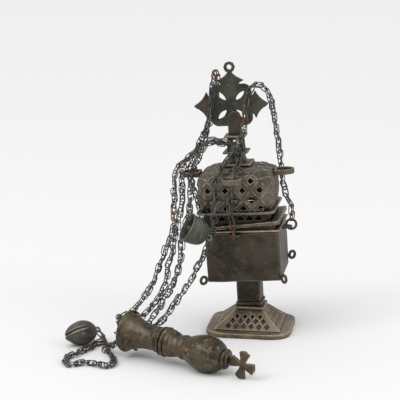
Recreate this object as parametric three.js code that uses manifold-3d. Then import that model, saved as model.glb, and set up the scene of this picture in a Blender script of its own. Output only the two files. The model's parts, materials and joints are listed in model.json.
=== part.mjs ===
// Thurible (hanging incense censer) with its four chains, two bells and a turned handle.
// Millimetres, +Z up. The origin is the middle of the foot's underside; the bowl's front
// panel faces -Y. Above the foot, the censer leans a little towards -X, as the old one does.

import * as THREE from "three";
import { mergeVertices } from "three/addons/utils/BufferGeometryUtils.js";
import Module from "manifold-3d";

const wasm = await Module();
wasm.setup();

// ---- driving dimensions ----------------------------------------------------------------

const GAP = 0.3; // air left between pieces that touch

const FOOT_HALF = 42.3;
const FOOT_CORNER = 20;
const FOOT_THICK = 5;
const PYRAMID_FOOT_HALF = 33;
const PYRAMID_TOP_HALF = 13.5;
const PYRAMID_TOP = 22;
const PYRAMID_WALL = 2.4;
const STEM_HALF = 12;
const STEM_TOP = 56;

const LEAN = THREE.MathUtils.degToRad(-3.6); // lean of everything above the foot, about Y
const LEAN_HEIGHT = 20; // height of the point that the lean turns about

const BOWL_HALF = 36.5;
const BOWL_CORNER = 2.5;
const BOWL_FLOOR = 57;
const BOWL_TOP = 106.2;
const BOWL_WALL = 2.2;
const RIM_THICK = 1.8;
const LUG_OFFSET = -6; // the hand-made lugs sit a little left of each side's middle

const PAN_TILT = THREE.MathUtils.degToRad(-3.9); // the coal pan rides up on its +X side
const PAN_HALF = 31.5;
const PAN_DEPTH = 34;
const PAN_WALL = 1.6;
const PAN_LIP_HALF = 37.5;
const PAN_LIP_HEIGHT = 3.4;
const PAN_LIP_Z = 112.9; // height of the lip's middle

const LID_SHIFT = -5.5; // the lid sits off the bowl's middle
const SKIRT_HALF = 33;
const SKIRT_TOP = 124;
const FLANGE_HALF = 39;
const FLANGE_THICK = 2.4;
const DOME_HALF = 37.5;
const DOME_FOOT = SKIRT_TOP + FLANGE_THICK + 2 * GAP;
const DOME_TOP = 168;
const DOME_WALL = 3;
const GUIDE_Z = 160;

const TOWER_PLATE_HALF = 15.5;
const TOWER_PLATE_TOP = 170.6;
const NECK_TOP = 180;
const LANTERN_HALF = 8.2;
const LANTERN_TOP = 195.6;
const SOCKET_TOP = 222;
const CROSS_Z = 227.5;
const CROSS_THICK = 3;

const HANDLE_MOUTH = new THREE.Vector3(-104, -112, 24.6);
const HANDLE_TURN = THREE.MathUtils.degToRad(-25);
const HANDLE_PITCH = THREE.MathUtils.degToRad(4.5);
const MOUTH_RADIUS = 20;
const GRIP_RADIUS = 17.3;
const GRIP_MIDDLE = 90;

const BELL_WALL = 1.4;
const BELL_LOOP_RADIUS = 2.4;
const BELL_LOOP_WIRE = 0.9;
const HANGING_BELL_HEIGHT = 22;
const HANGING_BELL_MOUTH = 14.2;
const FLOOR_BELL_HEIGHT = 33;
const FLOOR_BELL_BELLY = 12;

const CHAIN_SIDES = 8;
const CHAIN_RADIUS = 3;
const CHAIN_STEP = 10; // length of one straight piece of a chain's tube
const CHAIN_GAP = 1.3; // air where two stretches of one chain meet end to end
const DRAPE_HEIGHT = 150; // above this, the chains lie on the lid and rise with it

// ---- finishes --------------------------------------------------------------------------

function metalFinish(color, roughness, metalness) {
  return new THREE.MeshStandardMaterial({ color, roughness, metalness });
}

const BOWL_BRONZE = metalFinish(0x4a4136, 0.55, 0.75);
const LID_BRASS = metalFinish(0x7d6f58, 0.55, 0.7);
const FOOT_BRASS = metalFinish(0x83796a, 0.6, 0.65);
const CROSS_BRONZE = metalFinish(0x3f3f36, 0.5, 0.75);
const HANDLE_BRONZE = metalFinish(0x5a4c36, 0.42, 0.75);
const BELL_BRONZE = metalFinish(0x6c6f66, 0.5, 0.7);
const CHAIN_IRON = metalFinish(0x4b4c4c, 0.45, 0.8);
const RUSTY_IRON = metalFinish(0x75513c, 0.75, 0.5);

// ---- solids ----------------------------------------------------------------------------

function cleaned(geometry) {
  const bare = geometry.clone();
  for (const name of ["normal", "uv", "uv1", "color"]) bare.deleteAttribute(name);
  return mergeVertices(bare, 1e-4);
}

function toSolid(geometry) {
  const bare = cleaned(geometry);
  return new wasm.Manifold(
    new wasm.Mesh({
      numProp: 3,
      vertProperties: new Float32Array(bare.attributes.position.array),
      triVerts: new Uint32Array(bare.index.array),
    })
  );
}

function toGeometry(solid) {
  const { vertProperties, triVerts } = solid.getMesh();
  const geometry = new THREE.BufferGeometry();
  geometry.setAttribute("position", new THREE.BufferAttribute(new Float32Array(vertProperties), 3));
  geometry.setIndex(Array.from(triVerts));
  geometry.computeVertexNormals();
  return geometry;
}

function joined(first, ...others) {
  return toGeometry(others.reduce((sum, next) => sum.add(toSolid(next)), toSolid(first)));
}

function cut(body, ...tools) {
  return toGeometry(tools.reduce((left, tool) => left.subtract(toSolid(tool)), toSolid(body)));
}

function box(x0, x1, y0, y1, z0, z1) {
  const geometry = new THREE.BoxGeometry(x1 - x0, y1 - y0, z1 - z0);
  return geometry.translate((x0 + x1) / 2, (y0 + y1) / 2, (z0 + z1) / 2);
}

function roundedSquare(half, radius, Kind = THREE.Shape) {
  const outline = new Kind();
  const inner = half - radius;
  outline.absarc(inner, inner, radius, 0, Math.PI / 2);
  outline.absarc(-inner, inner, radius, Math.PI / 2, Math.PI);
  outline.absarc(-inner, -inner, radius, Math.PI, 1.5 * Math.PI);
  outline.absarc(inner, -inner, radius, 1.5 * Math.PI, 2 * Math.PI);
  outline.closePath();
  return outline;
}

function slab(outline, z0, z1, curveSegments = 3) {
  const settings = { depth: z1 - z0, bevelEnabled: false, curveSegments };
  return new THREE.ExtrudeGeometry(outline, settings).translate(0, 0, z0);
}

function frameSlab(half, radius, holeHalf, holeRadius, z0, z1) {
  const outline = roundedSquare(half, radius);
  outline.holes.push(roundedSquare(holeHalf, holeRadius, THREE.Path));
  return slab(outline, z0, z1, radius > 8 ? 5 : 3);
}

// A square frustum: four-sided cylinder turned so that its flats face X and Y.
function frustum(bottomHalf, topHalf, z0, z1) {
  const geometry = new THREE.CylinderGeometry(topHalf * Math.SQRT2, bottomHalf * Math.SQRT2, z1 - z0, 4);
  return geometry.rotateY(Math.PI / 4).rotateX(Math.PI / 2).translate(0, 0, (z0 + z1) / 2);
}

// Turns a closed profile of [radius, height] about Z; either order of the points will do.
function turned(profile, segments) {
  const points = profile.map(([radius, height]) => new THREE.Vector2(radius, height));
  if (THREE.ShapeUtils.area(points) > 0) points.reverse();
  return new THREE.LatheGeometry(points.reverse(), segments).rotateX(Math.PI / 2);
}

function wireRing(radius, wire, segments = 12, sides = 6) {
  const points = [];
  for (let i = 0; i <= sides; i += 1) {
    const angle = (2 * Math.PI * i) / sides;
    points.push(new THREE.Vector2(radius + wire * Math.cos(angle), wire * Math.sin(angle)));
  }
  return new THREE.LatheGeometry(points, segments);
}

const group = new THREE.Group();
const censer = new THREE.Group(); // everything that leans above the foot
censer.position.set(0, 0, LEAN_HEIGHT);
censer.rotation.y = LEAN;
const upright = new THREE.Group(); // lets the leaning pieces use heights above the floor
upright.position.set(0, 0, -LEAN_HEIGHT);
const lid = new THREE.Group();
lid.position.set(LID_SHIFT, 0, 0);
const handle = new THREE.Group(); // its own +Z runs from the mouth towards the finial
handle.position.copy(HANDLE_MOUTH);
handle.rotation.set(0, Math.PI / 2 + HANDLE_PITCH, HANDLE_TURN, "ZYX");
group.add(censer, handle);
censer.add(upright);
upright.add(lid);

function place(parent, name, geometry, material) {
  const mesh = new THREE.Mesh(geometry, material);
  mesh.name = name;
  parent.add(mesh);
  return mesh;
}

const SIDES = [
  { name: "front", turn: 0 },
  { name: "right", turn: Math.PI / 2 },
  { name: "rear", turn: Math.PI },
  { name: "left", turn: 1.5 * Math.PI },
];

function onEverySide(geometry) {
  return SIDES.map(({ turn }) => geometry.clone().rotateZ(turn));
}

// A four-sided bar standing on its edge, from the Z axis out through the front wall.
function diamondCutter(x, z, half, reach) {
  return new THREE.CylinderGeometry(half, half, reach, 4).translate(x, -reach / 2, z);
}

// ---- foot and stem ---------------------------------------------------------------------

function addFootPlate() {
  const hole = PYRAMID_FOOT_HALF - PYRAMID_WALL;
  const plate = frameSlab(FOOT_HALF, FOOT_CORNER, hole, 3, 0, FOOT_THICK);
  place(group, "foot_plate", plate, FOOT_BRASS);
}

// Foot openings: rows of diamonds that leave slanted bars between them.
const FOOT_LATTICE = 7.6;

function addFootPyramid() {
  const z0 = FOOT_THICK + GAP;
  const hollow = PYRAMID_WALL + 1;
  const shell = cut(
    frustum(PYRAMID_FOOT_HALF, PYRAMID_TOP_HALF, z0, PYRAMID_TOP),
    frustum(PYRAMID_FOOT_HALF - hollow, PYRAMID_TOP_HALF - hollow, z0 - 2, PYRAMID_TOP - 3)
  );
  const rows = [
    { z: z0 + 3.7, half: 2.8, columns: [-2.5, -1.5, -0.5, 0.5, 1.5, 2.5] },
    { z: z0 + 7.7, half: 2.6, columns: [-2, -1, 0, 1, 2] },
    { z: z0 + 11.2, half: 2, columns: [-1.5, -0.5, 0.5, 1.5] },
  ];
  const openings = rows.flatMap(({ z, half, columns }) =>
    columns.map((column) => diamondCutter(column * FOOT_LATTICE, z, half, PYRAMID_FOOT_HALF))
  );
  const cutters = openings.flatMap(onEverySide);
  place(group, "foot_pyramid", cut(shell, ...cutters), FOOT_BRASS);
}

function addStem() {
  const collar = slab(roundedSquare(STEM_HALF + 3, 2), PYRAMID_TOP + GAP, PYRAMID_TOP + 3.2);
  place(group, "stem_collar", collar, FOOT_BRASS);
  const bead = slab(roundedSquare(STEM_HALF + 1.4, 2), PYRAMID_TOP + 3.2 + GAP, PYRAMID_TOP + 6.4);
  place(upright, "stem_bead", bead.translate(0, 0, 1), BOWL_BRONZE);
  const stem = slab(roundedSquare(STEM_HALF, 1.5), PYRAMID_TOP + 6.4 + 1 + GAP, STEM_TOP - GAP);
  place(upright, "stem", stem, BOWL_BRONZE);
}

// ---- bowl ------------------------------------------------------------------------------

function addBowl() {
  const outside = slab(roundedSquare(BOWL_HALF, BOWL_CORNER), BOWL_FLOOR, BOWL_TOP);
  const inside = slab(roundedSquare(BOWL_HALF - BOWL_WALL, 1.5), BOWL_FLOOR + BOWL_WALL, BOWL_TOP + 1);
  const belly = frustum(STEM_HALF + 4, BOWL_HALF - 3, STEM_TOP, BOWL_FLOOR + 1);
  place(upright, "bowl", cut(joined(outside, belly), inside), BOWL_BRONZE);
  const rimZ = BOWL_TOP + GAP;
  const rim = frameSlab(BOWL_HALF + 1.4, 3, BOWL_HALF - BOWL_WALL, 1.5, rimZ, rimZ + RIM_THICK);
  place(upright, "bowl_rim", rim, FOOT_BRASS);
}

// Small upright eyes at the lower corners, pointing away from the bowl's middle; one sits higher.
function addCornerEyes() {
  const eyeRadius = 3.6;
  const wire = 1.6;
  const corners = {
    front_left: [-1, -1, 3],
    front_right: [1, -1, 3],
    rear_right: [1, 1, 8],
    rear_left: [-1, 1, 3],
  };
  for (const [name, [x, y, lift]] of Object.entries(corners)) {
    const eye = wireRing(eyeRadius, wire);
    eye.rotateZ(Math.atan2(y, x));
    const cornerSpot = BOWL_HALF - BOWL_CORNER * (1 - Math.SQRT1_2);
    const reach = cornerSpot + (eyeRadius + wire + GAP) * Math.SQRT1_2;
    eye.translate(x * reach, y * reach, BOWL_FLOOR + lift);
    place(upright, `bowl_eye_${name}`, eye, BOWL_BRONZE);
  }
}

// A flat tongue with a hole, pointing out of each side below the rim, and the ring through it.
const LUG_Z = BOWL_TOP - 1.4;
const LUG_THICK = 2;
const RING_RADIUS = 5;
const RING_WIRE = 1;
const RING_REACH = BOWL_HALF + 9.3; // ring centre, outwards from the bowl's axis
const RING_Z = LUG_Z - LUG_THICK / 2 - 0.7 - RING_WIRE + RING_RADIUS;

function lugOutline() {
  const outline = new THREE.Shape();
  const half = 6;
  outline.moveTo(-half, 0);
  outline.lineTo(half, 0);
  outline.lineTo(half, 4);
  outline.absarc(0, 4, half, 0, Math.PI);
  outline.closePath();
  const hole = new THREE.Path();
  hole.absarc(0, 5, 2.6, 0, 2 * Math.PI);
  outline.holes.push(hole);
  return outline;
}

function addSideLugs() {
  for (const { name, turn } of SIDES) {
    const lug = slab(lugOutline(), -LUG_THICK / 2, LUG_THICK / 2, 6).rotateZ(Math.PI);
    lug.translate(LUG_OFFSET, -BOWL_HALF - GAP, LUG_Z).rotateZ(turn);
    place(upright, `bowl_lug_${name}`, lug, BOWL_BRONZE);
    const ring = wireRing(RING_RADIUS, RING_WIRE).rotateZ(Math.PI / 2);
    ring.translate(LUG_OFFSET, -RING_REACH, RING_Z).rotateZ(turn);
    place(upright, `lug_ring_${name}`, ring, RUSTY_IRON);
  }
}

// ---- coal pan --------------------------------------------------------------------------

function addCoalPan() {
  const lip = frameSlab(PAN_LIP_HALF, 4, PAN_HALF - PAN_WALL, 4, -PAN_LIP_HEIGHT / 2, PAN_LIP_HEIGHT / 2);
  const cup = slab(roundedSquare(PAN_HALF, 5), -PAN_DEPTH, 0);
  const hollow = slab(roundedSquare(PAN_HALF - PAN_WALL, 4), -PAN_DEPTH + PAN_WALL, PAN_LIP_HEIGHT);
  const pan = cut(joined(cup, lip), hollow);
  const mesh = place(upright, "coal_pan", pan, LID_BRASS);
  mesh.rotation.y = PAN_TILT;
  mesh.position.z = PAN_LIP_Z;
}

// ---- lid -------------------------------------------------------------------------------

// The pierced frieze under the flange; its foot follows the tilted pan lip.
function addLidSkirt() {
  const frame = frameSlab(SKIRT_HALF, 6, SKIRT_HALF - 2, 5, BOWL_TOP - 6, SKIRT_TOP);
  const below = box(-60, 60, -60, 60, -30, PAN_LIP_HEIGHT / 2 + GAP);
  below.rotateY(PAN_TILT).translate(-LID_SHIFT, 0, PAN_LIP_Z);
  const pitch = 9;
  const openings = [-2.5, -1.5, -0.5, 0.5, 1.5, 2.5].map((step) => skirtOpening(step * pitch));
  place(lid, "lid_skirt", cut(frame, below, ...openings.flatMap(onEverySide)), LID_BRASS);
}

// A triangle standing on its base in the front wall of the frieze.
function skirtOpening(x) {
  const half = 4;
  const base = SKIRT_TOP - 6;
  const outline = new THREE.Shape();
  outline.moveTo(x - half, base);
  outline.lineTo(x + half, base);
  outline.lineTo(x, SKIRT_TOP - 1);
  outline.closePath();
  const cutter = new THREE.ExtrudeGeometry(outline, { depth: SKIRT_HALF + 5, bevelEnabled: false });
  return cutter.rotateX(Math.PI / 2);
}

function addLidFlange() {
  const z0 = SKIRT_TOP + GAP;
  const flange = frameSlab(FLANGE_HALF, 9, DOME_HALF - DOME_WALL - 3, 6, z0, z0 + FLANGE_THICK);
  place(lid, "lid_flange", flange, LID_BRASS);
}

// Dome profile as [share of the half width, height], outside then inside.
function domeShell() {
  const shoulder = DOME_TOP - 7.4;
  const outside = [
    [0.94, DOME_FOOT],
    [0.985, DOME_FOOT + 9],
    [1, DOME_FOOT + 18],
    [0.99, shoulder - 6],
    [0.965, shoulder - 1.6],
    [0.9, shoulder + 1.3],
    [0.7, shoulder + 4.3],
    [0.42, DOME_TOP - 0.6],
    [0, DOME_TOP],
  ];
  const shrink = 1 - DOME_WALL / DOME_HALF;
  const inside = outside.map(([share, z]) => [share * shrink, z > DOME_FOOT ? z - DOME_WALL * 0.9 : z]);
  const profile = [...inside.reverse(), ...outside].map(([share, z]) => [share * DOME_HALF, z]);
  return squared(turned(profile, 28));
}

// Pushes a round shell out to a square with round corners (a superellipse).
function squared(geometry) {
  const power = 7;
  const position = geometry.attributes.position;
  for (let i = 0; i < position.count; i += 1) {
    const x = position.getX(i);
    const y = position.getY(i);
    const radius = Math.hypot(x, y);
    if (radius === 0) continue;
    const spread = (Math.abs(x / radius) ** power + Math.abs(y / radius) ** power) ** (-1 / power);
    position.setXY(i, x * spread, y * spread);
  }
  return geometry;
}

// The dome's strapwork: bars cross where row and column add up to an even number, and the
// openings lie where they add up to an odd one.
const LATTICE_ACROSS = 8.5;
const LATTICE_UP = 9.2;
const LATTICE_MIDDLE = DOME_FOOT + 21.4;

// Upright openings through the dome's sloping roof, as [column, distance from the middle].
const ROOF_OPENINGS = [
  [-2, 27.5],
  [0, 27.5],
  [2, 27.5],
  [-1, 20.8],
  [1, 20.8],
];

function roofOpening([column, distance]) {
  const cutter = new THREE.CylinderGeometry(2.7, 2.7, 20, 4).rotateX(Math.PI / 2);
  return cutter.translate(column * LATTICE_ACROSS, -distance, DOME_TOP);
}

function addLidDome() {
  const openings = ROOF_OPENINGS.map(roofOpening);
  for (let row = -2; row <= 1; row += 1) {
    for (let column = -3; column <= 3; column += 1) {
      if ((row + column) % 2 === 0) continue;
      const half = row === -1 && column === 2 ? 4.4 : 3.2;
      const z = LATTICE_MIDDLE + row * LATTICE_UP;
      openings.push(diamondCutter(column * LATTICE_ACROSS, z, half, DOME_HALF + 1));
    }
  }
  place(lid, "lid_dome", cut(domeShell(), ...openings.flatMap(onEverySide)), LID_BRASS);
}

// Flat strip bent into a U on each side of the dome; a chain runs up through it.
const GUIDE_START = 37.3; // where its flat end meets the dome, from the lid's axis
const GUIDE_INNER = 8;
const GUIDE_REACH = 19.2;
const GUIDE_WALL = 2;
const GUIDE_HEIGHT = 5;

// Flat-ended at one side and round at the other, between two distances from the dome.
function guideOutline(half, start, end, Kind) {
  const outline = new Kind();
  outline.moveTo(-half, start);
  outline.lineTo(half, start);
  outline.absarc(0, end - half, half, 0, Math.PI);
  outline.closePath();
  return outline;
}

function addLidGuides() {
  const outline = guideOutline(GUIDE_INNER + GUIDE_WALL, 0, GUIDE_REACH, THREE.Shape);
  outline.holes.push(guideOutline(GUIDE_INNER, GUIDE_WALL, GUIDE_REACH - GUIDE_WALL, THREE.Path));
  for (const { name, turn } of SIDES) {
    const guide = slab(outline, -GUIDE_HEIGHT / 2, GUIDE_HEIGHT / 2, 8).rotateZ(Math.PI);
    guide.translate(0, -GUIDE_START, GUIDE_Z).rotateZ(turn);
    place(lid, `lid_guide_${name}`, guide, LID_BRASS);
  }
}

// ---- tower and cross -------------------------------------------------------------------

function addTower() {
  const plateZ = DOME_TOP + GAP;
  const plate = slab(roundedSquare(TOWER_PLATE_HALF, 2), plateZ, TOWER_PLATE_TOP);
  place(lid, "tower_plate", plate, LID_BRASS);
  const neck = frustum(LANTERN_HALF, LANTERN_HALF - 0.8, TOWER_PLATE_TOP + GAP, NECK_TOP);
  place(lid, "tower_neck", neck, CROSS_BRONZE);
  const lowFlange = slab(roundedSquare(12.4, 0.8), NECK_TOP + GAP, NECK_TOP + 2.3);
  place(lid, "tower_flange_lower", lowFlange, LID_BRASS);
  addLantern(NECK_TOP + 2.3 + GAP, LANTERN_TOP);
  const highFlange = slab(roundedSquare(10.6, 0.8), LANTERN_TOP + GAP, LANTERN_TOP + 2.4);
  place(lid, "tower_flange_upper", highFlange, LID_BRASS);
}

// Four corner posts between a sill and a lintel, open on every side.
function addLantern(z0, z1) {
  const post = 2.1;
  const window = LANTERN_HALF - 2 * post;
  const band = 2;
  const block = frustum(LANTERN_HALF, LANTERN_HALF - 0.6, z0, z1);
  const along = box(-20, 20, -window, window, z0 + band, z1 - band);
  const across = box(-window, window, -20, 20, z0 + band, z1 - band);
  place(lid, "tower_lantern", cut(block, along, across), CROSS_BRONZE);
}

// A block whose two arched cheeks hold the cross between them.
function addCrossSocket() {
  const z0 = LANTERN_TOP + 2.4 + GAP;
  const halfWidth = 6.6;
  const halfDepth = CROSS_THICK / 2 + GAP + 2;
  const arch = new THREE.Shape();
  arch.moveTo(-halfWidth, z0);
  arch.lineTo(halfWidth, z0);
  arch.lineTo(halfWidth, SOCKET_TOP - 9);
  arch.quadraticCurveTo(halfWidth - 1, SOCKET_TOP - 1.5, 0, SOCKET_TOP);
  arch.quadraticCurveTo(-halfWidth + 1, SOCKET_TOP - 1.5, -halfWidth, SOCKET_TOP - 9);
  arch.closePath();
  const settings = { depth: 2 * halfDepth, bevelEnabled: false, curveSegments: 5 };
  const cheeks = new THREE.ExtrudeGeometry(arch, settings);
  cheeks.rotateX(Math.PI / 2).translate(0, halfDepth, 0);
  const slotHalf = CROSS_THICK / 2 + GAP;
  const slot = box(-20, 20, -slotHalf, slotHalf, z0 + 5, SOCKET_TOP + 5);
  place(lid, "cross_socket", cut(cheeks, slot), BOWL_BRONZE);
}

// One flared arm reaching from the frame, with its tip and two spurs, drawn towards +X.
function armOutline(tip, knob) {
  const root = 12;
  const neckHalf = 6.5;
  const outline = new THREE.Shape();
  outline.moveTo(root, -neckHalf);
  outline.lineTo(20.5, -neckHalf);
  outline.lineTo(24.2, -14);
  outline.quadraticCurveTo(27.5, -5.5, tip, -knob);
  outline.lineTo(tip + knob, 0);
  outline.lineTo(tip, knob);
  outline.quadraticCurveTo(27.5, 5.5, 24.2, 14);
  outline.lineTo(20.5, neckHalf);
  outline.lineTo(root, neckHalf);
  outline.closePath();
  return outline;
}

function leafOutline() {
  const hole = new THREE.Shape();
  hole.moveTo(4.6, 4.6);
  hole.quadraticCurveTo(6.2, 12.4, 13.8, 13.8);
  hole.quadraticCurveTo(12.4, 6.2, 4.6, 4.6);
  return hole;
}

function flatPlate(outline) {
  const settings = { depth: CROSS_THICK, bevelEnabled: false, curveSegments: 4 };
  return new THREE.ExtrudeGeometry(outline, settings).translate(0, 0, -CROSS_THICK / 2);
}

function addCross() {
  const frame = flatPlate(roundedSquare(20.8, 8));
  const leafDepth = 4 * CROSS_THICK;
  const settings = { depth: leafDepth, bevelEnabled: false, curveSegments: 4 };
  const leaf = new THREE.ExtrudeGeometry(leafOutline(), settings);
  leaf.translate(0, 0, -leafDepth / 2);
  const leaves = [0, 1, 2, 3].map((corner) => leaf.clone().rotateZ((corner * Math.PI) / 2));
  const tips = [35.5, 33, 35.5]; // the upper arm is shorter, under the hanging ring
  const arms = tips.map((tip, arm) => flatPlate(armOutline(tip, 1.6)).rotateZ((arm * Math.PI) / 2));
  const ringY = 37.6;
  const disc = new THREE.Shape();
  disc.absarc(0, ringY, 5.8, 0, 2 * Math.PI);
  const ring = flatPlate(disc);
  const eye = new THREE.CylinderGeometry(2.5, 2.5, leafDepth, 14).rotateX(Math.PI / 2);
  eye.translate(0, ringY, 0);
  const cross = cut(joined(frame, ...arms, ring), ...leaves, eye);
  const mesh = place(lid, "cross", cross, CROSS_BRONZE);
  mesh.rotation.x = Math.PI / 2;
  mesh.position.set(-2.6, 0, CROSS_Z);
}

// ---- handle ----------------------------------------------------------------------------

function addHandle() {
  const cap = turned(
    [
      [MOUTH_RADIUS - 2, 0],
      [MOUTH_RADIUS, 0.8],
      [MOUTH_RADIUS, 3],
      [17.6, 6.5],
      [13.2, 16],
      [11.4, 26],
      [11.2, 40],
      [0, 40],
      [0, 36],
      [6, 33],
      [9, 26],
      [11, 16],
      [15, 7],
      [MOUTH_RADIUS - 2, 0],
    ],
    22
  );
  place(handle, "handle_cap", cap, HANDLE_BRONZE);
  const collar = turned(
    [
      [0, 40.4],
      [13.2, 40.4],
      [14, 42.4],
      [12.6, 44.4],
      [14, 46.6],
      [12.4, 49],
      [0, 49],
    ],
    22
  );
  place(handle, "handle_collar", collar, HANDLE_BRONZE);
  const neck = turned([[0, 49.3], [12, 49.3], [12.8, 53], [11.2, 58], [10.6, 66], [0, 66]], 22);
  place(handle, "handle_neck", neck, HANDLE_BRONZE);
  const grip = turned(
    [
      [0, 66.4],
      [11, 66.4],
      [13.2, 74],
      [16.4, 83],
      [GRIP_RADIUS, GRIP_MIDDLE],
      [16.4, 98],
      [13, 105],
      [8.6, 109.6],
      [0, 109.6],
    ],
    24
  );
  place(handle, "handle_grip", grip, HANDLE_BRONZE);
  const button = turned(
    [
      [0, 110.2],
      [7.2, 110.2],
      [9.4, 112],
      [9.4, 113.8],
      [6, 115.2],
      [3, 116.4],
      [0, 116.4],
    ],
    20
  );
  place(handle, "handle_button", button, HANDLE_BRONZE);
}

function addHandleLugs() {
  const radius = 1.7;
  const wire = 0.9;
  const reach = MOUTH_RADIUS + radius + wire + GAP;
  for (const [name, degrees] of [["front", -100], ["lower", 26]]) {
    const lug = wireRing(radius, wire, 12).translate(reach, 0, 3);
    place(handle, `handle_lug_${name}`, lug.rotateZ(THREE.MathUtils.degToRad(degrees)), HANDLE_BRONZE);
  }
}

// Small cross with flared arms, drooping a little from the handle's line.
function addFinialCross() {
  const outline = new THREE.Shape();
  const inner = 2.1;
  const reach = 12.6;
  const spread = 5.4;
  for (let arm = 0; arm < 4; arm += 1) {
    const spin = (x, y) => {
      const angle = (arm * Math.PI) / 2;
      return [x * Math.cos(angle) - y * Math.sin(angle), x * Math.sin(angle) + y * Math.cos(angle)];
    };
    const start = spin(inner, -inner);
    if (arm === 0) outline.moveTo(...start);
    outline.lineTo(...start);
    outline.lineTo(...spin(reach - 1, -spread));
    outline.lineTo(...spin(reach + 1, 0));
    outline.lineTo(...spin(reach - 1, spread));
  }
  outline.closePath();
  const cross = flatPlate(outline).rotateX(Math.PI / 2);
  const droop = THREE.MathUtils.degToRad(8);
  cross.rotateY(droop).translate(0.8, 0, 116.8 + reach + 1);
  place(handle, "finial_cross", cross, HANDLE_BRONZE);
}

// ---- bells -----------------------------------------------------------------------------

// A bell is drawn hanging from its own origin, mouth towards -Z. Its crown loop reaches above 0.
function bellProfile(outer, wall) {
  const inner = outer.slice(2).map(([radius, z]) => [Math.max(radius - wall, 0.6), z]);
  const apex = [0, outer[1][1] - wall];
  return [...outer, ...inner.reverse(), apex, outer[0]];
}

function openBell(height, mouth) {
  const outer = [
    [0, 0],
    [mouth * 0.42, -0.6],
    [mouth * 0.8, -height * 0.2],
    [mouth * 0.97, -height * 0.5],
    [mouth, -height],
  ];
  return turned(bellProfile(outer, BELL_WALL), 20);
}

// A bud with its lips drawn to a point, slit lengthwise from the point to past its middle.
function budBell(height, belly) {
  const outer = [
    [0, 0],
    [belly * 0.42, -0.6],
    [belly * 0.8, -height * 0.18],
    [belly, -height * 0.45],
    [belly * 0.86, -height * 0.7],
    [2.6, -height],
  ];
  const bud = turned(bellProfile(outer, BELL_WALL), 20);
  return cut(bud, box(-1.5, 1.5, -2 * belly, 2 * belly, -height - 1, -height * 0.42));
}

function addBell(name, shell, height, position, towards) {
  const bell = new THREE.Group();
  bell.position.set(...position);
  const down = new THREE.Vector3(0, 0, -1);
  bell.quaternion.setFromUnitVectors(down, new THREE.Vector3(...towards).normalize());
  group.add(bell);
  const loop = wireRing(BELL_LOOP_RADIUS, BELL_LOOP_WIRE, 12).translate(0, 0, BELL_LOOP_RADIUS + 0.2);
  place(bell, `${name}_shell`, joined(shell, loop), BELL_BRONZE);
  const top = -BELL_WALL - 1.2;
  const tip = -height * 0.78;
  const clapper = turned([[0, top], [0.8, top], [0.8, tip], [2.5, tip - 2.2], [0, tip - 4.6]], 8);
  place(bell, `${name}_clapper`, clapper, RUSTY_IRON);
}

// ---- chains ----------------------------------------------------------------------------

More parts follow.
